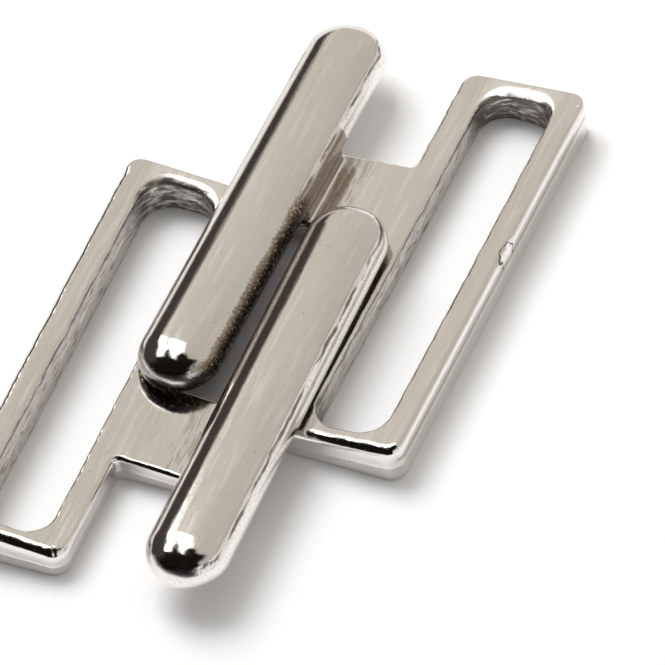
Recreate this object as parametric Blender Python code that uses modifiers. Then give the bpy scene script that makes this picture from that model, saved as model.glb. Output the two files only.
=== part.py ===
"""Two-piece cast clasp for a strap, fastened and lying flat.

Each half is one casting: a wedge-shaped strap frame with a long slot, a flat neck that leaves the
frame's inner bar, and a domed hook bar that stands on the neck. The two halves are the same
casting, one turned half a turn about +Z, and each hook bar lies behind the other one.

Units are metres, +Z is up, and the clasp stands on Z = 0. +X runs across the clasp, from one strap
to the other, and +Y runs along the hook bars.
"""

import math

import bmesh
import bpy
from mathutils import Matrix

MM = 0.001
MERGE_DISTANCE = 0.001 * MM

# Strap slot and the bars around it
SLOT_LENGTH = 25.0 * MM
SLOT_WIDTH = 4.3 * MM
SLOT_CORNER = 1.6 * MM
OUTER_BAR = 1.5 * MM
END_BAR = 1.03 * MM
FRAME_CORNER = 1.0 * MM

# The plate is thick along the strap and thin under the hook bar
FRAME_HEIGHT = 2.5 * MM
NECK_HEIGHT = 1.33 * MM

# Neck between the frame and the hook bar, and how far from the clasp's centre it starts
NECK_LENGTH = 5.6 * MM
NECK_REACH = 6.5 * MM
NECK_CORNER = 0.35 * MM
NECK_CLEARANCE = 0.5 * MM

# Domed hook bar: a low upright wall, then half an ellipse over it
HOOK_LENGTH = 27.1 * MM
HOOK_WIDTH = 4.7 * MM
HOOK_WALL = 0.3 * MM
HOOK_DOME = 1.55 * MM

# How the two halves sit in each other
HOOK_GAP = 0.8 * MM
HOOK_CLEARANCE = 0.32 * MM
HOOK_OVERLAP = 0.92 * MM
HOOK_TO_SLOT = 0.25 * MM
HOOK_SET_BACK = 0.2 * MM
PLAY_TURN = 1.5

# Rounding of the cast edges, and the small step that keeps joined faces from coinciding
PLATE_EDGE = 0.35 * MM
HOOK_EDGE = 0.12 * MM
JOINT_INSET = 0.05 * MM

# Faces along a rounded corner, and round the whole hook bar
ARC_STEPS = 7
HOOK_SIDES = 44
CUT_MARGIN = 2.0 * MM

# The two castings: their turn about +Z, and the inner bar that polishing left on each
HALVES = (
    {"name": "right_half", "turn": 0.0, "inner_bar": 1.7 * MM},
    {"name": "left_half", "turn": 180.0 + PLAY_TURN, "inner_bar": 1.45 * MM},
)
WIDEST_INNER_BAR = max(half["inner_bar"] for half in HALVES)

# Places in a half whose strap is at +X, with the clasp's centre at the origin
HOOK_INNER_X = -HOOK_GAP / 2
HOOK_OUTER_X = HOOK_INNER_X - HOOK_WIDTH
SLOT_INNER_X = -HOOK_OUTER_X + HOOK_TO_SLOT
SLOT_OUTER_X = SLOT_INNER_X + SLOT_WIDTH
FRAME_OUTER_X = SLOT_OUTER_X + OUTER_BAR
NECK_TIP_X = -(SLOT_INNER_X - WIDEST_INNER_BAR - NECK_CLEARANCE)
NECK_END_Y = NECK_REACH + NECK_LENGTH
HOOK_TIP_Y = -NECK_REACH - HOOK_OVERLAP
SLOT_START_Y = HOOK_TIP_Y - HOOK_SET_BACK + END_BAR
SLOT_END_Y = SLOT_START_Y + SLOT_LENGTH
FRAME_START_Y = SLOT_START_Y - END_BAR
FRAME_END_Y = SLOT_END_Y + END_BAR

# Heights over the surface that the clasp lies on
PLATE_SLOPE = (FRAME_HEIGHT - NECK_HEIGHT) / (FRAME_OUTER_X - HOOK_INNER_X)
HOOK_UNDERSIDE = NECK_HEIGHT + PLATE_SLOPE * (-HOOK_OUTER_X - HOOK_INNER_X) + HOOK_CLEARANCE
HOOK_SPRING = HOOK_UNDERSIDE + HOOK_WALL


def clear_scene():
    """Remove every object and collection of the open file."""
    for old in list(bpy.data.objects):
        bpy.data.objects.remove(old, do_unlink=True)
    for old in list(bpy.data.collections):
        bpy.data.collections.remove(old)


def new_collection(name):
    made = bpy.data.collections.new(name)
    bpy.context.scene.collection.children.link(made)
    return made


def nickel(name):
    """Polished nickel plate, a little warm and a little worn."""
    made = bpy.data.materials.new(name)
    made.use_nodes = True
    shader = made.node_tree.nodes["Principled BSDF"]
    shader.inputs["Base Color"].default_value = (0.72, 0.69, 0.65, 1.0)
    shader.inputs["Metallic"].default_value = 1.0
    shader.inputs["Roughness"].default_value = 0.18
    return made


def rounded_outline(corners):
    """Points round a closed outline of square corners, each given as (x, y, radius)."""
    points = []
    for index, (x, y, radius) in enumerate(corners):
        before = corners[index - 1]
        after = corners[(index + 1) % len(corners)]
        in_length = math.hypot(x - before[0], y - before[1])
        out_length = math.hypot(after[0] - x, after[1] - y)
        in_x, in_y = (x - before[0]) / in_length, (y - before[1]) / in_length
        out_x, out_y = (after[0] - x) / out_length, (after[1] - y) / out_length
        turn = 1 if in_x * out_y - in_y * out_x > 0 else -1
        centre_x = x + (out_x - in_x) * radius
        centre_y = y + (out_y - in_y) * radius
        start = math.atan2(-turn * in_x, turn * in_y)
        for step in range(ARC_STEPS + 1):
            angle = start + turn * math.pi / 2 * step / ARC_STEPS
            points.append((centre_x + radius * math.cos(angle), centre_y + radius * math.sin(angle)))
    return points


def rectangle(x_low, x_high, y_low, y_high, radius):
    return rounded_outline([
        (x_high, y_low, radius),
        (x_high, y_high, radius),
        (x_low, y_high, radius),
        (x_low, y_low, radius),
    ])


def evaluated_mesh(thing):
    """What the modifiers or the curve settings of an object make, as plain mesh data."""
    bpy.context.view_layer.update()
    seen = thing.evaluated_get(bpy.context.evaluated_depsgraph_get())
    return bpy.data.meshes.new_from_object(seen)


def flat_solid(name, points, low, high, collection):
    """A closed solid of a flat outline, drawn as a filled curve and extruded from low to high."""
    curve = bpy.data.curves.new(name, "CURVE")
    curve.dimensions = "2D"
    curve.fill_mode = "BOTH"
    curve.extrude = (high - low) / 2
    spline = curve.splines.new("POLY")
    spline.points.add(len(points) - 1)
    for target, (x, y) in zip(spline.points, points):
        target.co = (x, y, 0.0, 1.0)
    spline.use_cyclic_u = True
    drawn = bpy.data.objects.new(name + "_outline", curve)
    collection.objects.link(drawn)
    mesh = evaluated_mesh(drawn)
    bpy.data.objects.remove(drawn, do_unlink=True)
    mesh.transform(Matrix.Translation((0.0, 0.0, (low + high) / 2)))
    solid = bmesh.new()
    solid.from_mesh(mesh)
    bmesh.ops.remove_doubles(solid, verts=solid.verts, dist=MERGE_DISTANCE)
    bmesh.ops.recalc_face_normals(solid, faces=solid.faces)
    solid.to_mesh(mesh)
    solid.free()
    made = bpy.data.objects.new(name, mesh)
    collection.objects.link(made)
    return made


def hide_helper(thing):
    """A cutter or a piece that is joined into another one is no part by itself."""
    thing.hide_render = True
    thing.display_type = "WIRE"


def add_boolean(target, other, operation):
    modifier = target.modifiers.new(operation.lower() + "_" + other.name, "BOOLEAN")
    modifier.operation = operation
    modifier.solver = "EXACT"
    modifier.object = other


def add_edge_rounding(target, width, segments):
    modifier = target.modifiers.new("edge_rounding", "BEVEL")
    modifier.width = width
    modifier.segments = segments
    modifier.limit_method = "ANGLE"
    modifier.angle_limit = math.radians(35)


def plate_top(x):
    """Height of the plate's sloping top over a place across the clasp."""
    return NECK_HEIGHT + PLATE_SLOPE * max(x - HOOK_INNER_X, 0.0)


def make_plate(half, collection):
    """The strap frame and its neck, in one outline, with the slot cut through."""
    frame_inner_x = SLOT_INNER_X - half["inner_bar"]
    outline = rounded_outline([
        (FRAME_OUTER_X, FRAME_START_Y, FRAME_CORNER),
        (FRAME_OUTER_X, FRAME_END_Y, FRAME_CORNER),
        (frame_inner_x, FRAME_END_Y, FRAME_CORNER),
        (frame_inner_x, NECK_END_Y, NECK_CORNER),
        (NECK_TIP_X, NECK_END_Y, NECK_CORNER),
        (NECK_TIP_X, NECK_REACH, NECK_CORNER),
        (frame_inner_x, NECK_REACH, NECK_CORNER),
        (frame_inner_x, FRAME_START_Y, FRAME_CORNER),
    ])
    plate = flat_solid(half["name"] + "_plate", outline, 0.0, FRAME_HEIGHT, collection)
    for vertex in plate.data.vertices:
        if vertex.co.z > FRAME_HEIGHT / 2:
            vertex.co.z = plate_top(vertex.co.x)
    slot_outline = rectangle(SLOT_INNER_X, SLOT_OUTER_X, SLOT_START_Y, SLOT_END_Y, SLOT_CORNER)
    slot = flat_solid(
        half["name"] + "_slot", slot_outline, -CUT_MARGIN, FRAME_HEIGHT + CUT_MARGIN, collection)
    hide_helper(slot)
    add_boolean(plate, slot, "DIFFERENCE")
    add_edge_rounding(plate, PLATE_EDGE, 3)
    return plate


def make_hook(half, collection):
    """The domed bar: the upper half of a turned capsule, on a low upright wall."""
    radius = HOOK_WIDTH / 2
    straight = HOOK_LENGTH / 2 - radius
    quarter = HOOK_SIDES // 4
    upper = []
    for step in range(quarter + 1):
        angle = math.pi / 2 * step / quarter
        upper.append((radius * math.sin(angle), 0.0, straight + radius * math.cos(angle)))
    profile = upper + [(x, y, -z) for x, y, z in reversed(upper)]
    drawn = bpy.data.meshes.new("hook_profile")
    drawn.from_pydata(profile, [(index, index + 1) for index in range(len(profile) - 1)], [])
    turned = bpy.data.objects.new("hook_turned", drawn)
    collection.objects.link(turned)
    screw = turned.modifiers.new("turn", "SCREW")
    screw.axis = "Z"
    screw.steps = HOOK_SIDES
    screw.render_steps = HOOK_SIDES
    screw.use_merge_vertices = True
    screw.merge_threshold = MERGE_DISTANCE
    mesh = evaluated_mesh(turned)
    bpy.data.objects.remove(turned, do_unlink=True)
    solid = bmesh.new()
    solid.from_mesh(mesh)
    bmesh.ops.remove_doubles(solid, verts=solid.verts, dist=MERGE_DISTANCE)
    lay_down = Matrix.Rotation(math.radians(-90), 4, "X")
    flatten = Matrix.Diagonal((1.0, 1.0, HOOK_DOME / radius, 1.0))
    bmesh.ops.transform(solid, matrix=flatten @ lay_down, verts=solid.verts)
    everything = solid.verts[:] + solid.edges[:] + solid.faces[:]
    bmesh.ops.bisect_plane(
        solid, geom=everything, dist=MERGE_DISTANCE, plane_co=(0, 0, 0), plane_no=(0, 0, 1), clear_inner=True)
    rim = [edge for edge in solid.edges if edge.is_boundary]
    wall = bmesh.ops.extrude_edge_only(solid, edges=rim)["geom"]
    foot = [part for part in wall if isinstance(part, bmesh.types.BMVert)]
    bmesh.ops.translate(solid, verts=foot, vec=(0.0, 0.0, -HOOK_WALL))
    bmesh.ops.holes_fill(solid, edges=[edge for edge in solid.edges if edge.is_boundary], sides=0)
    bmesh.ops.recalc_face_normals(solid, faces=solid.faces)
    solid.to_mesh(mesh)
    solid.free()
    hook = bpy.data.objects.new(half["name"] + "_hook", mesh)
    collection.objects.link(hook)
    hook.location = (HOOK_INNER_X - radius, HOOK_TIP_Y + HOOK_LENGTH / 2, HOOK_SPRING)
    hide_helper(hook)
    add_edge_rounding(hook, HOOK_EDGE, 2)
    return hook


def make_riser(half, collection):
    """The block that carries the hook bar on the neck."""
    outline = rectangle(
        NECK_TIP_X + PLATE_EDGE,
        HOOK_INNER_X - JOINT_INSET,
        NECK_REACH + PLATE_EDGE,
        NECK_END_Y - PLATE_EDGE,
        NECK_CORNER,
    )
    riser = flat_solid(half["name"] + "_riser", outline, NECK_HEIGHT / 2, HOOK_SPRING, collection)
    hide_helper(riser)
    return riser


def make_half(half, clasp, helpers):
    """One whole casting, built with its strap at +X and then turned to its place."""
    plate = make_plate(half, helpers)
    add_boolean(plate, make_riser(half, helpers), "UNION")
    add_boolean(plate, make_hook(half, helpers), "UNION")
    mesh = evaluated_mesh(plate)
    mesh.name = half["name"]
    mesh.shade_smooth()
    mesh.set_sharp_from_angle(angle=math.radians(40))
    mesh.materials.clear()
    mesh.materials.append(nickel(half["name"] + "_nickel"))
    hide_helper(plate)
    casting = bpy.data.objects.new(half["name"], mesh)
    casting.rotation_euler.z = math.radians(half["turn"])
    clasp.objects.link(casting)
    return casting


def main():
    clear_scene()
    clasp = new_collection("bikini_clasp")
    helpers = new_collection("cutters_and_joined_pieces")
    for half in HALVES:
        make_half(half, clasp, helpers)
    bpy.context.view_layer.update()


main()
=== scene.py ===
# %% [markdown]
# # A fastened strap clasp in polished nickel
#
# The object is two small zinc castings, plated with nickel, that hook into each other. They lie
# on a white table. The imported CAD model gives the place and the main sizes. This lesson dresses
# it: it builds both castings again with rounded, slightly uneven edges, and gives them a metal
# that shows the traces of casting and polishing.

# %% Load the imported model
import math
from types import SimpleNamespace

import bmesh
import bpy
import numpy as np
from mathutils import Matrix, Vector, noise


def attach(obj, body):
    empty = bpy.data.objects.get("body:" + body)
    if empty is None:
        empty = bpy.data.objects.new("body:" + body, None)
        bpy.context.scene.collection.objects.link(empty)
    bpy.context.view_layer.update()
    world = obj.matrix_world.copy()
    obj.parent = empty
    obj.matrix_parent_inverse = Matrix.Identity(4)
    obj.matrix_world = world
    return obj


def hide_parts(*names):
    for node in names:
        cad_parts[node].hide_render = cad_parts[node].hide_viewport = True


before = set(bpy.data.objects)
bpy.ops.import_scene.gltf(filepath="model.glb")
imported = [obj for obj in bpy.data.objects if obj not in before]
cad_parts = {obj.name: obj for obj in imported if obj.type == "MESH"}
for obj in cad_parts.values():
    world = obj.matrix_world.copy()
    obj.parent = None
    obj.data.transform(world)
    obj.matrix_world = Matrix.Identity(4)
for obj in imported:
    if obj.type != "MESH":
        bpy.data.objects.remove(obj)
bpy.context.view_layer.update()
MM = 0.001
print("nodes:", sorted(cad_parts))

# %% [markdown]
# ## Sizes
#
# Both halves come from one mould, so one set of sizes serves both. They are the sizes of the CAD
# model. Each half is built with its strap at +X and is then turned about the clasp's centre.
#
# The halves differ in a few things: which end is near the camera, how wide the polisher left the
# inner bar, how dark the painted shade in the gap beside the hook bar is, and how far the strap has
# worn the slot.

# %% Sizes of one casting, in millimetres
SLOT_LENGTH, SLOT_WIDTH, SLOT_CORNER = 25.0, 4.3, 1.6
OUTER_BAR, END_BAR = 1.5, 1.03
FRAME_HEIGHT, NECK_HEIGHT = 2.5, 1.33
NECK_LENGTH, NECK_REACH = 5.6, 6.5
HOOK_LENGTH, HOOK_WIDTH, HOOK_WALL, HOOK_DOME = 27.1, 4.7, 0.3, 1.55
HOOK_GAP, HOOK_CLEARANCE, HOOK_OVERLAP = 0.8, 0.32, 0.92
HOOK_TO_SLOT, HOOK_SET_BACK = 0.25, 0.2

HALVES = (
    {"name": "right", "node": "right_half", "turn": 0.0, "near": -1, "inner_bar": 1.7,
     "dent": True, "gap_shade": 0.97, "worn_reach": 0.70, "worn_depth": 0.14, "pale_skin": 0.50},
    {"name": "left", "node": "left_half", "turn": 181.5, "near": 1, "inner_bar": 1.45,
     "dent": False, "gap_shade": 0.45, "worn_reach": 0.60, "worn_depth": 0.18, "pale_skin": 0.43},
)

# %% Places that follow from the sizes
HOOK_INNER_X = -HOOK_GAP / 2
HOOK_OUTER_X = HOOK_INNER_X - HOOK_WIDTH
SLOT_INNER_X = -HOOK_OUTER_X + HOOK_TO_SLOT
SLOT_OUTER_X = SLOT_INNER_X + SLOT_WIDTH
FRAME_OUTER_X = SLOT_OUTER_X + OUTER_BAR
NECK_TIP_X = -3.15
NECK_END_Y = NECK_REACH + NECK_LENGTH
HOOK_TIP_Y = -NECK_REACH - HOOK_OVERLAP
FRAME_START_Y = HOOK_TIP_Y - HOOK_SET_BACK
SLOT_START_Y = FRAME_START_Y + END_BAR
SLOT_END_Y = SLOT_START_Y + SLOT_LENGTH
FRAME_END_Y = SLOT_END_Y + END_BAR
MIDDLE_Y = (FRAME_START_Y + FRAME_END_Y) / 2
PLATE_SLOPE = (FRAME_HEIGHT - NECK_HEIGHT) / (FRAME_OUTER_X - HOOK_INNER_X)
HOOK_UNDERSIDE = NECK_HEIGHT + PLATE_SLOPE * (-HOOK_OUTER_X - HOOK_INNER_X) + HOOK_CLEARANCE
HOOK_SPRING = HOOK_UNDERSIDE + HOOK_WALL
print("frame from", round(FRAME_START_Y, 2), "to", round(FRAME_END_Y, 2), "mm along the bars")


def plate_top(x):
    """Height of the sloping plate, which is thick at the strap and thin under the hook bar."""
    return NECK_HEIGHT + PLATE_SLOPE * (x - HOOK_INNER_X)


# %% [markdown]
# ## Camera
#
# The photograph was taken with a long lens from the front right, looking down at about 50 degrees,
# and the camera was rolled a little. A long focal length keeps parallel bars nearly parallel.

# %% Camera at the photograph's angle
CAMERA_AZIMUTH, CAMERA_ELEVATION, CAMERA_ROLL = 30.062, 49.734, -8.576
CAMERA_DISTANCE = 491.032 * MM
CAMERA_TARGET = Vector((3.366 * MM, 0.970 * MM, 0.0))
FOCAL_PIXELS, PHOTO_WIDTH, SENSOR_WIDTH = 9000.0, 665.0, 36.0


def direction(azimuth, elevation):
    """The way from the clasp to something seen at these angles, in degrees."""
    azimuth, elevation = math.radians(azimuth), math.radians(elevation)
    return Vector((
        math.sin(azimuth) * math.cos(elevation),
        -math.cos(azimuth) * math.cos(elevation),
        math.sin(elevation),
    ))


def make_camera():
    back = direction(CAMERA_AZIMUTH, CAMERA_ELEVATION)
    side = Vector((0.0, 0.0, 1.0)).cross(back).normalized()
    up = back.cross(side)
    upright = Matrix((side, up, back)).transposed().to_4x4()
    data = bpy.data.cameras.new("photo_camera")
    data.sensor_width = SENSOR_WIDTH
    data.lens = SENSOR_WIDTH * FOCAL_PIXELS / PHOTO_WIDTH
    data.clip_start, data.clip_end = 0.01, 10.0
    camera = bpy.data.objects.new("photo_camera", data)
    place = Matrix.Translation(CAMERA_TARGET + back * CAMERA_DISTANCE)
    camera.matrix_world = place @ upright @ Matrix.Rotation(math.radians(CAMERA_ROLL), 4, "Z")
    bpy.context.scene.collection.objects.link(camera)
    bpy.context.scene.camera = camera
    return camera


camera = make_camera()
print("lens:", round(camera.data.lens, 1), "mm")

# %% [markdown]
# ## A small language for node trees
#
# Wiring Math nodes by hand is slow to write and hard to read. The class below wraps one socket and
# overloads the usual operators, so that a formula in Python adds the Math nodes that it needs. The
# same nodes exist in shader trees and in geometry trees, so one class serves both.


# %% Sockets that can be used in formulas
class Value:
    """One output socket of a node tree, for use in formulas."""

    def __init__(self, tree, socket):
        self.tree = tree
        self.socket = socket

    def math(self, operation, *others):
        return add(self.tree, "ShaderNodeMath", dict(operation=operation), self, *others)

    def __add__(self, other):
        return self.math("ADD", other)

    def __radd__(self, other):
        return self.math("ADD", other)

    def __sub__(self, other):
        return self.math("SUBTRACT", other)

    def __rsub__(self, other):
        return add(self.tree, "ShaderNodeMath", dict(operation="SUBTRACT"), other, self)

    def __mul__(self, other):
        return self.math("MULTIPLY", other)

    def __rmul__(self, other):
        return self.math("MULTIPLY", other)

    def __truediv__(self, other):
        return self.math("DIVIDE", other)

    def __rtruediv__(self, other):
        return add(self.tree, "ShaderNodeMath", dict(operation="DIVIDE"), other, self)

    def __pow__(self, other):
        return self.math("POWER", other)

    def __neg__(self):
        return self.math("MULTIPLY", -1.0)

    def __abs__(self):
        return self.math("ABSOLUTE")

    def sin(self):
        return self.math("SINE")

    def cos(self):
        return self.math("COSINE")

    def sign(self):
        return self.math("SIGN")

    def at_least(self, other):
        return self.math("MAXIMUM", other)

    def at_most(self, other):
        return self.math("MINIMUM", other)

    def ramp(self, low, high):
        """0 below low, 1 above high and smooth between them. Low may be above high."""
        if low > high:
            return 1 - self.ramp(high, low)
        settings = dict(interpolation_type="SMOOTHSTEP", clamp=True)
        return add(self.tree, "ShaderNodeMapRange", settings, self, low, high, 0.0, 1.0)

    def between(self, low, high, soft):
        """1 between two values, with soft sides."""
        return self.ramp(low - soft, low + soft) * self.ramp(high + soft, high - soft)


def add(tree, kind, settings=None, *inputs, output=0, **named):
    """Add a node with its settings, then the values or links of its inputs. Returns one output."""
    node = tree.nodes.new(kind)
    for key, value in (settings or {}).items():
        setattr(node, key, value)
    pairs = list(enumerate(inputs)) + list(named.items())
    for key, value in pairs:
        socket = node.inputs[key if isinstance(key, int) else key.replace("_", " ")]
        source = getattr(value, "socket", value)
        if isinstance(source, bpy.types.NodeSocket):
            tree.links.new(source, socket)
        elif source is not None:
            socket.default_value = source
    return Value(tree, node.outputs[output])


def mix(tree, factor, first, second):
    """Blend two colours."""
    settings = dict(data_type="RGBA", clamp_factor=True)
    node = add(tree, "ShaderNodeMix", settings, output=2).socket.node
    for index, value in ((0, factor), (6, first), (7, second)):
        source = getattr(value, "socket", value)
        if isinstance(source, bpy.types.NodeSocket):
            tree.links.new(source, node.inputs[index])
        else:
            node.inputs[index].default_value = source
    return Value(tree, node.outputs[2])


def split(tree, vector):
    """The three parts of a vector."""
    node = add(tree, "ShaderNodeSeparateXYZ", None, vector).socket.node
    return tuple(Value(tree, output) for output in node.outputs)


print("formula nodes ready")

# %% [markdown]
# ## The plate: frame and neck
#
# The plate is a flat outline with a slot. A real casting has no perfect edge: polishing rounds the
# near corners more than the long sides, and the rounding wanders along each edge. So the plate is
# built as rings. Each ring follows the outline at its own inset and height, and the rounding radius
# changes slowly from point to point. Between the last rings lies the flat top.


# %% Outlines with rounded corners
def rounded_outline(corners, spacing):
    """Points and inward normals round an outline of (x, y, radius) corners, counter-clockwise."""
    points = []
    for index, (x, y, radius) in enumerate(corners):
        here = np.array((x, y))
        before = np.array(corners[index - 1][:2])
        after = np.array(corners[(index + 1) % len(corners)][:2])
        along = (here - before) / np.linalg.norm(here - before)
        onward = (after - here) / np.linalg.norm(after - here)
        centre = here + (onward - along) * radius
        steps = max(6, int(radius * math.pi / 2 / (0.45 * spacing)))
        for step in range(steps + 1):
            angle = math.pi / 2 * step / steps
            outwards = -onward * math.cos(angle) + along * math.sin(angle)
            points.append(centre + outwards * radius)
    return even_out(points, spacing)


def even_out(points, spacing):
    """Split the long stretches of a closed outline, and work out its inward normals."""
    filled = []
    for index, point in enumerate(points):
        following = points[(index + 1) % len(points)]
        parts = max(1, int(round(np.linalg.norm(following - point) / spacing)))
        for part in range(parts):
            filled.append(point + (following - point) * part / parts)
    filled = np.array(filled)
    tangent = np.roll(filled, -1, axis=0) - np.roll(filled, 1, axis=0)
    tangent /= np.linalg.norm(tangent, axis=1)[:, None]
    return filled, np.stack((-tangent[:, 1], tangent[:, 0]), axis=1)


def wander(points, seed, scale, amount):
    """A slow random value for each point, the same in every run."""
    return np.array([
        amount * noise.noise(Vector((x * scale, y * scale, seed))) for x, y in points])


square, _ = rounded_outline([(1, 0, 0.2), (1, 1, 0.2), (0, 1, 0.2), (0, 0, 0.2)], 0.1)
print("a unit square with round corners has", len(square), "points")

# %% [markdown]
# Each wall is a stack of rings. The lowest ones round off the underside, the middle ones climb the
# wall past the mould's parting ridge, and the last ones round off the upper edge.

# %% Rings of a wall
LOWER_STEPS, UPPER_STEPS = 3, 8
WALL_SHARES = (0.12, 0.3, 0.44, 0.48, 0.5, 0.52, 0.56, 0.7, 0.88)
PARTING_RIDGE, RIDGE_SHARE = 0.018, 0.025
LOWER_ROUNDING = 0.14
FLAT_RIM = 0.05


def wall_rings(points, normals, reach, depth, worn):
    """Rings of (x, y, z) points, from the flat underside to the sloping top.

    The upper edge is a quarter circle where worn is 0, and a shallow slope where it is 1.
    """
    rings = []
    for step in range(LOWER_STEPS + 1):
        angle = math.pi / 2 * step / LOWER_STEPS
        inset = LOWER_ROUNDING * (1 - math.sin(angle))
        ring = points + normals * inset
        height = np.full(len(points), LOWER_ROUNDING * (1 - math.cos(angle)))
        rings.append(np.column_stack((ring, height)))
    shoulder = plate_top(points[:, 0]) - depth
    for share in WALL_SHARES:
        proud = PARTING_RIDGE * math.exp(-(((share - 0.5) / RIDGE_SHARE) ** 2))
        ring = points - normals * proud
        height = LOWER_ROUNDING + (shoulder - LOWER_ROUNDING) * share
        rings.append(np.column_stack((ring, height)))
    for step in range(UPPER_STEPS + 1):
        angle = math.pi / 2 * step / UPPER_STEPS
        ring = points + normals * (reach * (1 - math.cos(angle)))[:, None]
        drop = (1 - math.sin(angle)) * (1 - worn) + math.cos(angle) ** 2 * worn
        height = plate_top(ring[:, 0]) - depth * drop
        rings.append(np.column_stack((ring, height)))
    # One narrow flat ring more, so that the rounding doesn't tilt the shading of the flat top
    ring = points + normals * (reach + FLAT_RIM)[:, None]
    rings.append(np.column_stack((ring, plate_top(ring[:, 0]))))
    return rings


def add_rings(mesh, rings):
    """Join rings of points into a wall. Returns the edges of the first and of the last ring."""
    made = [[mesh.verts.new(point) for point in ring] for ring in rings]
    count = len(made[0])
    for lower, upper in zip(made, made[1:]):
        for index in range(count):
            following = (index + 1) % count
            mesh.faces.new((lower[index], lower[following], upper[following], upper[index]))
    return [
        [mesh.edges.get((ring[index], ring[(index + 1) % count])) for index in range(count)]
        for ring in (made[0], made[-1])]


print("a wall has", LOWER_STEPS + UPPER_STEPS + len(WALL_SHARES) + 2, "rings")

# %% Build a plate
POINT_SPACING = 0.16
FRAME_ROUNDING, OUTER_ROUNDING, END_ROUNDING, FAR_ROUNDING = 0.26, 0.45, 0.56, 0.14
SLOT_ROUNDING = 0.18
NECK_CORNER, NECK_TIP_CORNER, FRAME_CORNER = 0.4, 0.5, 1.0
DENT = {"x": 11.08, "y": 7.6, "z": 2.4, "reach": 0.6, "depth": 0.07}
DENT_PUSH = Vector((-1.0, 0.0, -0.7))
DENT_BAND, DENT_SOFT = 0.42, 0.15


def to_object(name, mesh):
    """Give a bmesh in millimetres an object of its own, in metres."""
    bmesh.ops.recalc_face_normals(mesh, faces=mesh.faces)
    data = bpy.data.meshes.new(name)
    mesh.to_mesh(data)
    mesh.free()
    data.transform(Matrix.Scale(MM, 4))
    made = bpy.data.objects.new(name, data)
    bpy.context.scene.collection.objects.link(made)
    return made


def roughen_slot(mesh, seed):
    """The slot walls keep the grooves of the mould: push their points in and out a little."""
    for vertex in mesh.verts:
        x, y, z = vertex.co
        inside = SLOT_INNER_X - 0.02 < x < SLOT_OUTER_X + 0.02
        inside = inside and SLOT_START_Y - 0.02 < y < SLOT_END_Y + 0.02
        if inside and 0.2 < z < plate_top(x) - 0.25:
            grooves = noise.noise(Vector((x * 1.5, y * 1.5 + z * 2.0, z * 5.0 + seed)))
            lumps = noise.noise(Vector((x * 4.0, y * 4.0, z * 4.0 - seed)))
            middle_x = (SLOT_INNER_X + SLOT_OUTER_X) / 2
            middle = Vector((middle_x, min(max(y, SLOT_START_Y + 2), SLOT_END_Y - 2), z))
            outwards = (vertex.co - middle).normalized()
            vertex.co += outwards * (0.05 * grooves + 0.02 * lumps)


def press_dent(mesh):
    """A knock on the outer edge: the metal is pushed in, with a ragged rim."""
    middle = Vector((DENT["x"], DENT["y"], DENT["z"]))
    for vertex in mesh.verts:
        away = vertex.co - middle
        away.y *= 0.55
        ragged = 1 + 0.7 * noise.noise(vertex.co * 3.1)
        near = 1 - away.length / (DENT["reach"] * ragged)
        on_edge = min(1.0, (vertex.co.x - FRAME_OUTER_X + DENT_BAND) / DENT_SOFT)
        if near > 0 and on_edge > 0:
            vertex.co += DENT_PUSH * DENT["depth"] * min(1.0, near * 2.2) * ragged * on_edge


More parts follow.
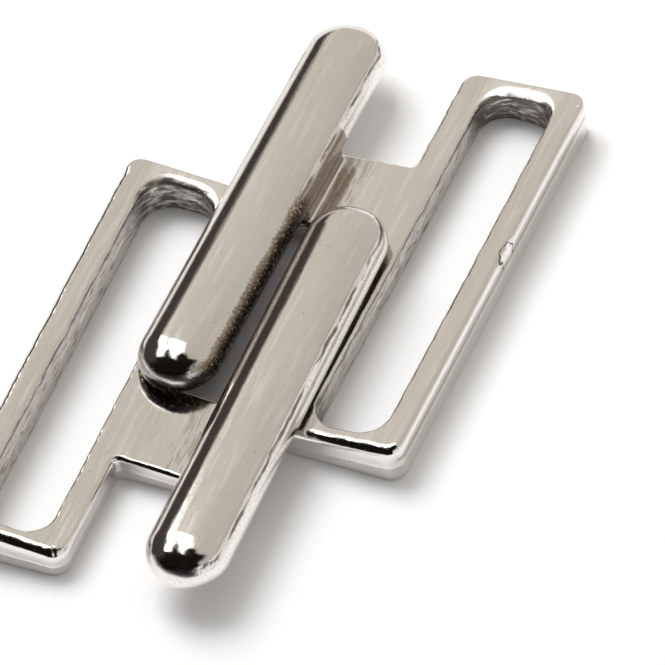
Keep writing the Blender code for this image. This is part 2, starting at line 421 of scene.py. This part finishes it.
def make_plate(half):
    seed = half["turn"]
    inner_x = SLOT_INNER_X - half["inner_bar"]
    outline, inwards = rounded_outline([
        (FRAME_OUTER_X, FRAME_START_Y, FRAME_CORNER),
        (FRAME_OUTER_X, FRAME_END_Y, FRAME_CORNER),
        (inner_x, FRAME_END_Y, FRAME_CORNER),
        (inner_x, NECK_END_Y, NECK_CORNER),
        (NECK_TIP_X, NECK_END_Y, NECK_TIP_CORNER),
        (NECK_TIP_X, NECK_REACH, NECK_TIP_CORNER),
        (inner_x, NECK_REACH, NECK_CORNER),
        (inner_x, FRAME_START_Y, FRAME_CORNER),
    ], POINT_SPACING)
    at_outside = np.clip((outline[:, 0] - FRAME_OUTER_X + 0.9) / 0.8, 0, 1)
    nearer = half["near"] * (outline[:, 1] - MIDDLE_Y)
    at_near_end = np.clip((nearer - FRAME_END_Y + MIDDLE_Y + 1.4) / 1.2, 0, 1)
    at_far_end = np.clip((-nearer - FRAME_END_Y + MIDDLE_Y + 1.2) / 1.0, 0, 1)
    rounding = FRAME_ROUNDING + (OUTER_ROUNDING - FRAME_ROUNDING) * at_outside
    rounding += (END_ROUNDING - rounding) * at_near_end
    rounding += wander(outline, seed, 0.9, 0.07) + wander(outline, seed + 9, 4.0, 0.05)
    rounding += (FAR_ROUNDING - rounding) * at_far_end
    slot, into_slot = rounded_outline([
        (SLOT_OUTER_X, SLOT_START_Y, SLOT_CORNER),
        (SLOT_OUTER_X, SLOT_END_Y, SLOT_CORNER),
        (SLOT_INNER_X, SLOT_END_Y, SLOT_CORNER),
        (SLOT_INNER_X, SLOT_START_Y, SLOT_CORNER),
    ], POINT_SPACING)
    # The strap has worn the slot's far end
    worn = np.clip((-half["near"] * (slot[:, 1] - MIDDLE_Y) - SLOT_LENGTH / 2 + 1.2) / 1.1, 0, 1)
    uneven = SLOT_ROUNDING + wander(slot, seed + 5, 1.1, 0.08) + wander(slot, seed + 7, 5.0, 0.05)
    slot_reach = uneven + (half["worn_reach"] - uneven) * worn
    slot_depth = uneven + (half["worn_depth"] - uneven) * worn
    mesh = bmesh.new()
    outer_rings = wall_rings(outline, inwards, rounding, rounding, 0.0)
    slot_rings = wall_rings(slot, -into_slot, slot_reach, slot_depth, worn)
    outer_low, outer_high = add_rings(mesh, outer_rings)
    slot_low, slot_high = add_rings(mesh, slot_rings)
    bmesh.ops.triangle_fill(mesh, use_beauty=True, edges=outer_low + slot_low)
    bmesh.ops.triangle_fill(mesh, use_beauty=True, edges=outer_high + slot_high)
    roughen_slot(mesh, seed)
    if half["dent"]:
        press_dent(mesh)
    return to_object(half["name"] + "_plate", mesh)


plates = {half["name"]: make_plate(half) for half in HALVES}
for name, plate in plates.items():
    print(name, "plate:", len(plate.data.polygons), "faces")

# %% [markdown]
# ## The hook bar
#
# The hook bar is a dome that is swept along a straight line and closed by a quarter dome at each
# end. Such a form follows one rule, so Geometry Nodes make it. A flat grid is the cloth: one side
# of it is the way round the bar and the other side the way along it. Formulas move each point of
# the grid to its place on the bar, and the seam is merged.


# %% Start a geometry tree
def start_tree(name, sizes):
    """A geometry tree with one named number input for each size."""
    tree = bpy.data.node_groups.new(name, "GeometryNodeTree")
    tree.interface.new_socket("Geometry", in_out="INPUT", socket_type="NodeSocketGeometry")
    for size, value in sizes.items():
        socket = tree.interface.new_socket(size, in_out="INPUT", socket_type="NodeSocketFloat")
        socket.default_value = value
    tree.interface.new_socket("Geometry", in_out="OUTPUT", socket_type="NodeSocketGeometry")
    entry = tree.nodes.new("NodeGroupInput")
    return tree, {size: Value(tree, entry.outputs[size]) for size in sizes}


def finish_tree(tree, geometry, material):
    """Realize Instances, Set Material and the group's output."""
    real = add(tree, "GeometryNodeRealizeInstances", None, geometry)
    coated = add(tree, "GeometryNodeSetMaterial", None, real, Material=material)
    leaving = tree.nodes.new("NodeGroupOutput")
    tree.links.new(coated.socket, leaving.inputs["Geometry"])


def run_tree(name, tree, sizes):
    """Evaluate a tree with these sizes, and keep the result as a plain mesh object."""
    holder = bpy.data.objects.new(name, bpy.data.meshes.new(name + "_start"))
    bpy.context.scene.collection.objects.link(holder)
    modifier = holder.modifiers.new("form", "NODES")
    modifier.node_group = tree
    for item in tree.interface.items_tree:
        if item.in_out == "INPUT" and item.name in sizes:
            modifier[item.identifier] = float(sizes[item.name])
    bpy.context.view_layer.update()
    seen = holder.evaluated_get(bpy.context.evaluated_depsgraph_get())
    mesh = bpy.data.meshes.new_from_object(seen)
    holder.modifiers.clear()
    holder.data = mesh
    return holder


print("geometry tree helpers ready")

# %% Tree of the hook bar
AROUND, ALONG = 97, 321
FOOT_POWER = 0.4
HOOK_SIZES = {
    "Length": HOOK_LENGTH * MM,
    "Width": HOOK_WIDTH * MM,
    "Dome": HOOK_DOME * MM,
    "Wall": HOOK_WALL * MM,
    "Fullness": 0.92,
    "Droop": 2.35 * MM,
    "Nose": 2.15,
    "Taper": 0.04,
    "Reach": 8.0 * MM,
    "Waviness": 0.012 * MM,
    "Seed": 1.0,
}


def hook_tree(material):
    tree, size = start_tree("hook_bar_form", HOOK_SIZES)
    grid = add(tree, "GeometryNodeMeshGrid", None, 2.0, 2.0, AROUND, ALONG)
    x, y, _ = split(tree, add(tree, "GeometryNodeInputPosition"))
    radius = size["Width"] * 0.5
    straight = size["Length"] * 0.5 - radius
    # The outer fifth of the grid at each end closes the bar
    end_angle = (abs(y) - 0.8).at_least(0.0) * (math.pi / 2 / 0.2)
    along = y.sign() * ((abs(y) / 0.8).at_most(1.0) * straight + radius * end_angle.sin())
    narrow = end_angle.cos()
    angle = x * math.pi
    upper = angle.cos().ramp(-0.0001, 0.0001)
    # The sine is not quite zero at the seam, and the small power would open the seam
    lower_side = angle.sin().sign() * (abs(angle.sin()) - 0.00001).at_least(0.0) ** FOOT_POWER
    upper_side = angle.sin().sign() * abs(angle.sin()) ** size["Fullness"]
    across = radius * narrow * (upper * upper_side + (1 - upper) * lower_side)
    from_end = size["Length"] * 0.5 - abs(along)
    past = (1 - from_end / size["Droop"]).at_least(0.0)
    lowered = (1 - past ** size["Nose"]).at_least(0.0) ** (1 / size["Nose"])
    # Long before the end, polishing has already thinned the dome a little
    thinned = (1 - from_end / size["Reach"]).at_least(0.0)
    lowered = lowered * (1 - size["Taper"] * thinned * thinned)
    dome = size["Dome"] * lowered * angle.cos().at_least(0.0) ** size["Fullness"]
    foot = size["Wall"] * (-angle.cos()).at_least(0.0) ** FOOT_POWER
    place = add(tree, "ShaderNodeCombineXYZ", None, across, along, dome - foot)
    bar = add(tree, "GeometryNodeSetPosition", None, grid, Position=place)
    bar = add(tree, "GeometryNodeMergeByDistance", None, bar, Distance=0.0005 * MM)
    # A hand polisher leaves long shallow waves along the bar
    stretched = add(tree, "ShaderNodeCombineXYZ", None, across * 900, along * 110, size["Seed"])
    settings = dict(noise_dimensions="3D")
    waves = add(tree, "ShaderNodeTexNoise", settings, Vector=stretched, Scale=1.0, Detail=2.0)
    normal = add(tree, "GeometryNodeInputNormal")
    lift = (waves - 0.5) * 2 * size["Waviness"]
    offset = add(tree, "ShaderNodeVectorMath", dict(operation="SCALE"), normal, Scale=lift)
    bar = add(tree, "GeometryNodeSetPosition", None, bar, Offset=offset)
    finish_tree(tree, bar, material)
    return tree


# %% Make both hook bars
plain_metal = bpy.data.materials.new("plain_metal")
bar_form = hook_tree(plain_metal)


def make_hook(half):
    sizes = dict(HOOK_SIZES, Seed=half["turn"] + 1.0)
    hook = run_tree(half["name"] + "_hook", bar_form, sizes)
    centre = (HOOK_INNER_X - HOOK_WIDTH / 2, HOOK_TIP_Y + HOOK_LENGTH / 2, HOOK_SPRING)
    hook.data.transform(Matrix.Translation([part * MM for part in centre]))
    whole = bmesh.new()
    whole.from_mesh(hook.data)
    bmesh.ops.recalc_face_normals(whole, faces=whole.faces)
    whole.to_mesh(hook.data)
    whole.free()
    return hook


hooks = {half["name"]: make_hook(half) for half in HALVES}
for name, hook in hooks.items():
    print(name, "hook bar:", len(hook.data.polygons), "faces, mm:",
          [round(value / MM, 2) for value in hook.dimensions])

# %% [markdown]
# ## The riser
#
# A short block stands on the neck and carries the hook bar. Its foot is a small hollow curve, as
# molten metal never fills a sharp inner corner.

# %% Build a riser
RISER_ROWS = (
    {"flare": 0.24, "above_neck": -0.3},
    {"flare": 0.20, "above_neck": -0.02},
    {"flare": 0.09, "above_neck": 0.03},
    {"flare": 0.03, "above_neck": 0.10},
    {"flare": 0.0, "above_neck": 0.2},
    {"flare": 0.0, "above_neck": HOOK_SPRING - NECK_HEIGHT + 0.3},
)


def make_riser(half):
    outline, inwards = rounded_outline([
        (HOOK_INNER_X - 0.04, NECK_REACH + 0.3, 0.35),
        (HOOK_INNER_X - 0.04, NECK_END_Y - 0.3, 0.35),
        (NECK_TIP_X + 0.4, NECK_END_Y - 0.3, 0.35),
        (NECK_TIP_X + 0.4, NECK_REACH + 0.3, 0.35),
    ], POINT_SPACING)
    rings = []
    for row in RISER_ROWS:
        ring = outline - inwards * row["flare"]
        height = np.full(len(outline), NECK_HEIGHT + row["above_neck"])
        rings.append(np.column_stack((ring, height)))
    mesh = bmesh.new()
    low, high = add_rings(mesh, rings)
    bmesh.ops.triangle_fill(mesh, use_beauty=True, edges=low)
    bmesh.ops.triangle_fill(mesh, use_beauty=True, edges=high)
    return to_object(half["name"] + "_riser", mesh)


risers = {half["name"]: make_riser(half) for half in HALVES}
print("riser faces:", [len(riser.data.polygons) for riser in risers.values()])

# %% [markdown]
# ## Joining the pieces of a casting
#
# The real half is one piece of metal, so its plate, riser and hook bar are joined by a Boolean
# union, which leaves no inner walls. Weighted normals then keep the large flats truly flat in the
# reflections, because each point takes its normal from its largest face.


# %% Join and turn
def join_casting(half):
    plate = plates[half["name"]]
    for other in (risers[half["name"]], hooks[half["name"]]):
        union = plate.modifiers.new("join_" + other.name, "BOOLEAN")
        union.operation, union.solver, union.object = "UNION", "EXACT", other
    bpy.context.view_layer.update()
    seen = plate.evaluated_get(bpy.context.evaluated_depsgraph_get())
    mesh = bpy.data.meshes.new_from_object(seen)
    casting = bpy.data.objects.new(half["name"] + "_casting", mesh)
    bpy.context.scene.collection.objects.link(casting)
    for used in (plate, risers[half["name"]], hooks[half["name"]]):
        bpy.data.objects.remove(used, do_unlink=True)
    mesh.transform(Matrix.Rotation(math.radians(half["turn"]), 4, "Z"))
    mesh.shade_smooth()
    mesh.set_sharp_from_angle(angle=math.radians(50))
    weighted = casting.modifiers.new("flat_tops", "WEIGHTED_NORMAL")
    weighted.mode, weighted.weight, weighted.keep_sharp = "FACE_AREA", 80, True
    return casting


castings = {half["name"]: join_casting(half) for half in HALVES}
for name, casting in castings.items():
    print(name, "casting:", len(casting.data.polygons), "faces")

# %% [markdown]
# ## Polished nickel
#
# Nickel is a warm grey metal. The domes and tops are polished almost to a mirror, with faint
# streaks along the bars where the wheel ran. The slot walls were never polished: they keep the
# dull, rough and brownish skin of the casting. The pattern is placed in the casting's own
# directions, so the left half turns it by its own angle.
#
# The material is made in three steps: noises in the casting's own directions, marks that say where
# each trace lies, and the paint that uses both.

# %% Colours and noises of the metal
NICKEL = (0.765, 0.735, 0.70, 1.0)
NICKEL_WARM = (0.70, 0.655, 0.60, 1.0)
SKIN_PALE = (0.80, 0.76, 0.73, 1.0)
# White for painted sheen: lighter streaks along the bars, lighter outer walls, and with the skin's
# brown, the skirt.
PAINTED_SHEEN_WHITE = (0.95, 0.92, 0.90, 1.0)
# Brown: the skin of the casting, and the brown part of the painted shade in the gap.
SKIN_AND_SHADE_BROWN = (0.30, 0.235, 0.18, 1.0)
SKIN_DEEP = (0.10, 0.076, 0.056, 1.0)
# Near-black: dark grain in the slot skin, and painted shade in the gap, under the near tip, in the
# pits and round the dent.
SHADE_AND_GRAIN_BLACK = (0.030, 0.022, 0.016, 1.0)
# Golden glints, painted into the shade of the gap.
GOLDEN_GLINT = (0.55, 0.43, 0.27, 1.0)

# How dense each noise is across the bars, along them and upwards, per millimetre, and its detail
OWN_NOISES = {
    "streaks": (3.0, 0.22, 3.0, 4.0),
    "fine": (22.0, 0.9, 22.0, 3.0),
    "blotches": (0.7, 0.10, 0.7, 3.0),
    "dimples": (5.0, 3.0, 5.0, 2.0),
    "specks": (9.0, 9.0, 9.0, 1.0),
    "wall_streaks": (1.3, 0.8, 6.0, 4.0),
    "wall_grain": (6.0, 7.0, 9.0, 4.0),
    "end_streaks": (1.6, 1.6, 5.0, 5.0),
    "slow": (2.0, 0.9, 2.0, 4.0),
    "slower": (1.5, 0.7, 1.5, 5.0),
    "scratches": (9.0, 0.8, 9.0, 3.0),
}
SHARED_NOISES = {
    "grit": (14.0, 14.0, 14.0, 4.0),
    "breaks": (3.0, 0.6, 3.0, 4.0),
    "knock": (2.6, 2.6, 2.6, 3.0),
}


def casting_space(tree, half):
    """The casting's own coordinates in millimetres, with its noises."""
    coordinates = add(tree, "ShaderNodeTexCoord", None, output=3)
    own = add(tree, "ShaderNodeVectorRotate", dict(rotation_type="Z_AXIS"), coordinates,
              Angle=-math.radians(half["turn"]))
    millimetres = add(tree, "ShaderNodeVectorMath", dict(operation="SCALE"), own, Scale=1 / MM)
    x, y, z = split(tree, millimetres)
    _, _, upwards = split(tree, add(tree, "ShaderNodeNewGeometry", None, output=1))
    space = SimpleNamespace(x=x, y=y, z=z, upwards=upwards)
    for noises, shift in ((OWN_NOISES, half["turn"]), (SHARED_NOISES, 0.0)):
        for name, (across, along, up, detail) in noises.items():
            place = add(tree, "ShaderNodeCombineXYZ", None, x * across + shift, y * along, z * up)
            settings = dict(noise_dimensions="3D")
            made = add(tree, "ShaderNodeTexNoise", settings, Vector=place, Scale=1.0, Detail=detail)
            setattr(space, name, made)
    return space


print("noises:", len(OWN_NOISES) + len(SHARED_NOISES))

# %% [markdown]
# Where the wheel never came, the casting shows: in the slot and on the skirt of the hook bar. The
# riser is painted brown. In the gap between the bars and under the near tip of the hook bar, shade
# is painted dark. Each mark is 1 there and 0 elsewhere.

# %% Marks on the plate
SLOT_HALF = SLOT_LENGTH / 2
SKIRT_TOP = HOOK_SPRING + 0.86


def plate_marks(space, half):
    x, y, z, upwards = space.x, space.y, space.z, space.upwards
    steep = abs(upwards).ramp(0.8, 0.45)
    slot_end = abs(y - MIDDLE_Y).ramp(SLOT_HALF - 3.5, SLOT_HALF - 1.0)
    in_slot = x.between(SLOT_INNER_X - 0.25, SLOT_OUTER_X + 0.25, 0.04)
    in_slot = in_slot * y.between(SLOT_START_Y - 0.3, SLOT_END_Y + 0.3, 0.04)
    in_slot = in_slot * steep.at_least(slot_end * upwards.ramp(0.955, 0.90))
    below_top = (x - HOOK_INNER_X) * PLATE_SLOPE + NECK_HEIGHT - z
    frayed = (space.slow - 0.5) * 0.5
    slot_line = in_slot * (below_top + frayed).between(0.10, 0.30, 0.06)
    outer_line = x.ramp(FRAME_OUTER_X - 0.3, FRAME_OUTER_X - 0.2)
    outer_line = outer_line * (below_top + frayed * 0.4).between(0.80, 1.02, 0.10)
    # The strap has dulled the top beside the slot's far end
    dulled = ((y - MIDDLE_Y) * -half["near"]).ramp(SLOT_HALF - 1.6, SLOT_HALF - 0.6)
    dulled = dulled * x.between(SLOT_INNER_X - 0.2, SLOT_OUTER_X + 0.2, 0.4)
    return SimpleNamespace(
        steep=steep, in_slot=in_slot, slot_end=slot_end, slot_line=slot_line,
        outer_line=outer_line, dulled=dulled)


print("half a slot:", SLOT_HALF, "mm")


# %% Marks on the hook bar and at the riser
def hook_marks(space, half, steep):
    x, y, z = space.x, space.y, space.z
    on_hook = x.ramp(HOOK_INNER_X + 0.1, HOOK_INNER_X)
    on_hook = on_hook * z.ramp(HOOK_UNDERSIDE - 0.08, HOOK_UNDERSIDE)
    ragged = (space.slower - 0.5) * 0.3
    above_skirt = z - SKIRT_TOP + ragged
    skirt = on_hook * above_skirt.ramp(0.03, -0.03)
    skirt_line = on_hook * above_skirt.ramp(-0.12, -0.06) * above_skirt.ramp(0.07, 0.03)
    # The gap beside the other hook bar and the underside of the near tip get painted shade: gap and
    # under_tip mark where it is painted.
    gap_height = z + ragged * 0.9 + (space.wall_grain - 0.5) * 0.3
    gap = x.ramp(HOOK_INNER_X - 1.5, HOOK_INNER_X - 0.7)
    gap = gap * y.between(HOOK_TIP_Y + 0.9, NECK_REACH + 0.5, 0.9)
    gap = on_hook * gap * gap_height.ramp(HOOK_SPRING + 1.06, HOOK_SPRING + 0.94)
    under_tip = y.ramp(HOOK_TIP_Y + 3.5, HOOK_TIP_Y + 2.0)
    under_tip = on_hook * under_tip * gap_height.ramp(HOOK_SPRING + 0.3, HOOK_SPRING + 0.1)
    gap = gap.at_least(under_tip * half["gap_shade"])
    at_riser = x.between(HOOK_INNER_X - 0.5, HOOK_INNER_X + 0.25, 0.06) * steep
    at_riser = at_riser * y.between(NECK_REACH - 0.2, NECK_END_Y + 0.1, 0.1)
    at_riser = at_riser * z.ramp(NECK_HEIGHT, NECK_HEIGHT + 0.1)
    scratches = x.between(HOOK_INNER_X + 0.1, HOOK_INNER_X + 1.7, 0.3)
    scratches = scratches * y.between(NECK_REACH, NECK_END_Y, 0.8)
    scratches = scratches * space.upwards.ramp(0.95, 0.98)
    scratches = scratches * z.ramp(HOOK_UNDERSIDE, HOOK_UNDERSIDE - 0.2)
    scratches = scratches * space.scratches.ramp(0.50, 0.60)
    return SimpleNamespace(
        on_hook=on_hook, skirt=skirt, skirt_line=skirt_line, gap=gap, gap_height=gap_height,
        at_riser=at_riser, scratches=scratches)


print("skirt up to", round(SKIRT_TOP, 2), "mm")

# %% [markdown]
# The paint starts with polished nickel and lays each kind of skin over it by its mark. Painted
# sheen lightens the streaks, the outer walls and the skirt, and painted shade darkens the gap, the
# underside of the near tip, the pits and the dent's rim.


# %% Paint
def paint_slot(tree, half, space, plate):
    """The skin of the slot walls, darker and streakier at the ends."""
    skin = mix(tree, space.wall_streaks.ramp(0.36, 0.47), SKIN_AND_SHADE_BROWN, SKIN_PALE)
    skin = mix(tree, space.wall_grain.ramp(0.36, 0.30), skin, SHADE_AND_GRAIN_BLACK)
    streaks = space.end_streaks.ramp(half["pale_skin"], half["pale_skin"] + 0.15)
    end_skin = mix(tree, streaks, SKIN_DEEP, SKIN_PALE)
    skin = mix(tree, plate.slot_end * 0.92, skin, end_skin)
    return mix(tree, plate.slot_line * 0.85, skin, SKIN_DEEP)


def paint_gap_shade(tree, space, hook):
    """Painted shade in the gap: near-black below, brown above, with painted golden glints."""
    height = hook.gap_height.ramp(HOOK_SPRING + 0.62, HOOK_SPRING + 0.95)
    skin = mix(tree, height, SHADE_AND_GRAIN_BLACK, SKIN_AND_SHADE_BROWN)
    return mix(tree, space.wall_grain.ramp(0.57, 0.64), skin, GOLDEN_GLINT)


def paint(tree, half, space, plate, hook, pits):
    colour = mix(tree, space.blotches.ramp(0.3, 0.7) * 0.7, NICKEL, NICKEL_WARM)
    # Lighter streaks along the bars are a painted sheen over the polishing streaks.
    painted_sheen = space.fine.ramp(0.52, 0.76) * 0.25 + space.streaks.ramp(0.52, 0.70) * 0.35
    colour = mix(tree, painted_sheen, colour, PAINTED_SHEEN_WHITE)
    colour = mix(tree, plate.in_slot * 0.85, colour, paint_slot(tree, half, space, plate))
    outer_wall = plate.steep * (1 - plate.in_slot) * (1 - hook.on_hook)
    # The outer walls are painted lighter, as a painted reflection of the white table.
    colour = mix(tree, outer_wall * 0.6, colour, PAINTED_SHEEN_WHITE)
    colour = mix(tree, outer_wall * plate.outer_line * 0.6, colour, SKIN_AND_SHADE_BROWN)
    # The skirt mixes the brown casting skin with painted sheen, which lightens it as a painted
    # reflection.
    skirt_skin_and_sheen = mix(tree, space.wall_grain.ramp(0.44, 0.34) * 0.5, PAINTED_SHEEN_WHITE, SKIN_AND_SHADE_BROWN)
    colour = mix(tree, hook.skirt * 0.75, colour, skirt_skin_and_sheen)
    broken_line = hook.skirt_line * space.breaks.ramp(0.38, 0.56)
    colour = mix(tree, broken_line * 0.85, colour, SKIN_DEEP)
    colour = mix(tree, hook.at_riser * 0.9, colour, SKIN_AND_SHADE_BROWN)
    colour = mix(tree, hook.scratches * 0.45, colour, SKIN_AND_SHADE_BROWN)
    # Painted shade darkens the gap beside the other bar and the underside of the near tip.
    colour = mix(tree, hook.gap * half["gap_shade"], colour, paint_gap_shade(tree, space, hook))
    if half["dent"]:
        # The dent's rim is painted as a ragged ring of painted shade.
        across, along = (space.x - DENT["x"]) / 0.34, (space.y - DENT["y"]) / 0.8
        rim = (across * across + along * along) ** 0.5 + (space.knock - 0.5) * 1.2
        rim = rim.between(0.80, 0.96, 0.05) * space.z.ramp(1.5, 1.7)
        colour = mix(tree, rim * 0.9, colour, SHADE_AND_GRAIN_BLACK)
    # The pits are painted near-black as painted shade in them.
    return mix(tree, pits * 0.8, colour, SHADE_AND_GRAIN_BLACK)


print("paint ready")

# %% Material of a casting
SMOOTH, UNPOLISHED = 0.055, 0.24


def relief(space, plate, hook, pits, sparks):
    """Height of the fine relief in millimetres."""
    height = space.streaks * 0.010 + space.fine * 0.0035 + space.grit * 0.0015
    height = height + space.dimples * 0.003 + (sparks - pits) * 0.02
    height = height + plate.in_slot * (space.wall_streaks * 0.10 + space.wall_grain * 0.03)
    height = height + (hook.skirt * 0.010 + hook.gap * 0.03) * space.wall_grain
    return height + hook.skirt * -0.012


def nickel(half):
    material = bpy.data.materials.new(half["name"] + "_nickel")
    material.use_nodes = True
    tree = material.node_tree
    tree.nodes.clear()
    space = casting_space(tree, half)
    plate = plate_marks(space, half)
    hook = hook_marks(space, half, plate.steep)
    pits, sparks = space.specks.ramp(0.235, 0.220), space.specks.ramp(0.765, 0.785)
    rough_part = (plate.dulled * 0.45).at_least(plate.in_slot).at_least(hook.skirt * 0.55)
    rough_part = rough_part.at_least(hook.gap).at_least(hook.at_riser * 0.6)
    roughness = SMOOTH + space.streaks * 0.05 + space.blotches * 0.02 + rough_part * UNPOLISHED
    bump = add(tree, "ShaderNodeBump", None, Strength=0.6, Distance=1.0 * MM,
               Height=relief(space, plate, hook, pits, sparks))
    shader = add(tree, "ShaderNodeBsdfPrincipled", None,
                 Base_Color=paint(tree, half, space, plate, hook, pits), Metallic=1.0,
                 Roughness=roughness, Normal=bump)
    output = tree.nodes.new("ShaderNodeOutputMaterial")
    tree.links.new(shader.socket, output.inputs["Surface"])
    return material


for half in HALVES:
    casting = castings[half["name"]]
    casting.data.materials.clear()
    casting.data.materials.append(nickel(half))
print("materials:", [casting.data.materials[0].name for casting in castings.values()])

# %% [markdown]
# ## Table and light
#
# Polished metal shows its surroundings more than itself. The studio is therefore the most
# important part of the picture: a white table, a beige wall behind the clasp, two bright ceiling
# panels above it, and a dark room on the camera's side. The world's background draws it by
# direction, in degrees round the table and degrees over it.

# %% Table
TABLE_WHITE = (0.86, 0.86, 0.86, 1.0)


def make_table():
    bpy.ops.mesh.primitive_plane_add(size=3.0)
    table = bpy.context.object
    table.name = "table"
    white = bpy.data.materials.new("table_white")
    white.use_nodes = True
    shader = white.node_tree.nodes["Principled BSDF"]
    shader.inputs["Base Color"].default_value = TABLE_WHITE
    shader.inputs["Roughness"].default_value = 0.9
    table.data.materials.append(white)
    return table


table = make_table()

# %% Studio round the table
ROOM_BLACK = (0.008, 0.007, 0.006, 1.0)
ROOM_DARK = (0.060, 0.050, 0.046, 1.0)
ROOM_BROWN = (0.24, 0.20, 0.17, 1.0)
WALL_BEIGE = (0.672, 0.638, 0.586)
SIDE_GREY = (0.60, 0.575, 0.55, 1.0)
SWEEP_WHITE = (0.86, 0.84, 0.82, 1.0)
PANEL_WHITE = (1.0, 1.0, 1.0, 1.0)
PANEL_STRENGTH = 3.0
# What a straight bar reflects lies on one arch, which reaches this many degrees
ARCH_REACH, ARCH_POWER = 57, 2.35


def far_wall(turned, height, arch, edge):
    """Where the beige wall is seen: inside the arch, overhead and on the right."""
    overhead = turned.between(-80.0, 24.0, 3.0) * height.between(47.0, 80.0, 2.0)
    right_wall = turned.between(-80.0, -20.0, 3.0) * height.between(10.0, 60.0, 2.0)
    wall = (arch - edge).ramp(0.015, 0.0).at_least(overhead.at_least(right_wall))
    # A dark corner at the left cuts into the wall
    corner = (turned - 35 - (height - 8) * 0.8).ramp(-2.5, 2.5)
    corner = corner.at_least(arch.ramp(0.88, 0.91) * turned.ramp(30.0, 34.0))
    return wall * (1 - corner * height.between(5.5, 31.5, 0.8))


def white_sweep(turned, height):
    """Where the table runs up into a white sweep, and the brown border over its right part."""
    left = (5.5 - height).ramp(-1.2, 1.2) * turned.ramp(26.0, 32.0)
    right_top = (10 + (-20 - turned) * 0.5).at_most(40.0)
    on_right = turned.between(-140.0, -20.0, 2.0)
    border = (height - right_top).between(-1.0, 3.0, 1.0) * on_right
    return left.at_least((right_top - height).ramp(-2.0, 2.0) * on_right), border


def ceiling_panels(turned, height, arch, edge):
    """Where the two ceiling panels are seen, with a narrow dark gap between them."""
    divide = 46 + (height - 50) + (height - 68).at_least(0.0) * 5
    inner = (divide - turned).ramp(-0.8, 0.8) * turned.ramp(17.0, 20.0)
    inner = inner * height.between(44.0, 78.0, 1.5)
    outer_low = (31.5 + (turned - 50) * 0.75).at_most(48.0)
    outer = (turned - divide - 6).ramp(-0.8, 0.8) * (height - outer_low).ramp(-0.8, 0.8)
    outer = outer * height.ramp(61.5, 60.0) * turned.ramp(101.0, 98.0)
    return (arch - edge).ramp(0.0, 0.02) * inner.at_least(outer)


def make_studio():
    world = bpy.data.worlds.new("studio")
    bpy.context.scene.world = world
    world.use_nodes = True
    tree = world.node_tree
    tree.nodes.clear()
    x, y, z = split(tree, add(tree, "ShaderNodeTexCoord", None, output=0))
    # Degrees from the far side, counted towards the left strap, and degrees over the table
    turned = (-x).math("ARCTAN2", y) * math.degrees(1)
    height = z.math("ARCSINE") * math.degrees(1)
    # The far wall fills the arch, and the panels begin at its edge
    arch = (abs(turned) / ARCH_REACH) ** ARCH_POWER + (abs(height) / ARCH_REACH) ** ARCH_POWER
    edge = (1.08 + (height - 38) * 0.005).at_least(1.06).at_most(1.14)
    shade = 0.99 + turned.at_least(-40.0).at_most(45.0) * 0.0018
    beige = add(tree, "ShaderNodeVectorMath", dict(operation="SCALE"), WALL_BEIGE, Scale=shade)
    sweep, border = white_sweep(turned, height)
    dark = turned.between(30.0, 115.0, 10.0) * height.ramp(52.0, 42.0)
    side = turned.between(-125.0, -60.0, 5.0) * height.ramp(62.0, 50.0)
    colour = mix(tree, dark, ROOM_BLACK, ROOM_DARK)
    colour = mix(tree, side, colour, SIDE_GREY)
    colour = mix(tree, far_wall(turned, height, arch, edge), colour, beige)
    colour = mix(tree, border * 0.7, colour, ROOM_BROWN)
    colour = mix(tree, sweep, colour, SWEEP_WHITE)
    room = add(tree, "ShaderNodeBackground", None, colour, 1.0)
    lamp = add(tree, "ShaderNodeBackground", None, PANEL_WHITE, PANEL_STRENGTH)
    panels = ceiling_panels(turned, height, arch, edge)
    both = add(tree, "ShaderNodeMixShader", None, panels, room, lamp)
    output = tree.nodes.new("ShaderNodeOutputWorld")
    tree.links.new(both.socket, output.inputs["Surface"])
    return world


studio = make_studio()
bpy.context.scene.view_settings.view_transform = "Standard"
print("studio:", studio.name)

# %% Lamps for the table
# The metal doesn't mirror these lamps: they only set how white the table is and where shadows fall
LAMP_DISTANCE = 0.9
LAMPS = (
    {"name": "key", "azimuth": -125.0, "elevation": 50.0, "size": 0.6, "energy": 5.5},
    {"name": "ceiling", "azimuth": -90.0, "elevation": 75.0, "size": 1.8, "energy": 3.9},
)


def make_lamp(row):
    data = bpy.data.lights.new(row["name"], "AREA")
    data.shape, data.size, data.energy = "DISK", row["size"], row["energy"]
    back = direction(row["azimuth"], row["elevation"])
    lamp = bpy.data.objects.new(row["name"], data)
    lamp.location = back * LAMP_DISTANCE
    lamp.rotation_euler = back.to_track_quat("Z", "Y").to_euler()
    lamp.visible_glossy = False
    lamp.visible_camera = False
    bpy.context.scene.collection.objects.link(lamp)
    return lamp


lamps = [make_lamp(row) for row in LAMPS]
print("lamps:", [(lamp.name, lamp.data.energy) for lamp in lamps])

# %% [markdown]
# ## Attaching the castings
#
# Each dressed casting rides on the clasp's only body, and the CAD node that it stands for is
# hidden.

# %% Ride and replace
for half in HALVES:
    casting = castings[half["name"]]
    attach(casting, "root")
    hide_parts(half["node"])
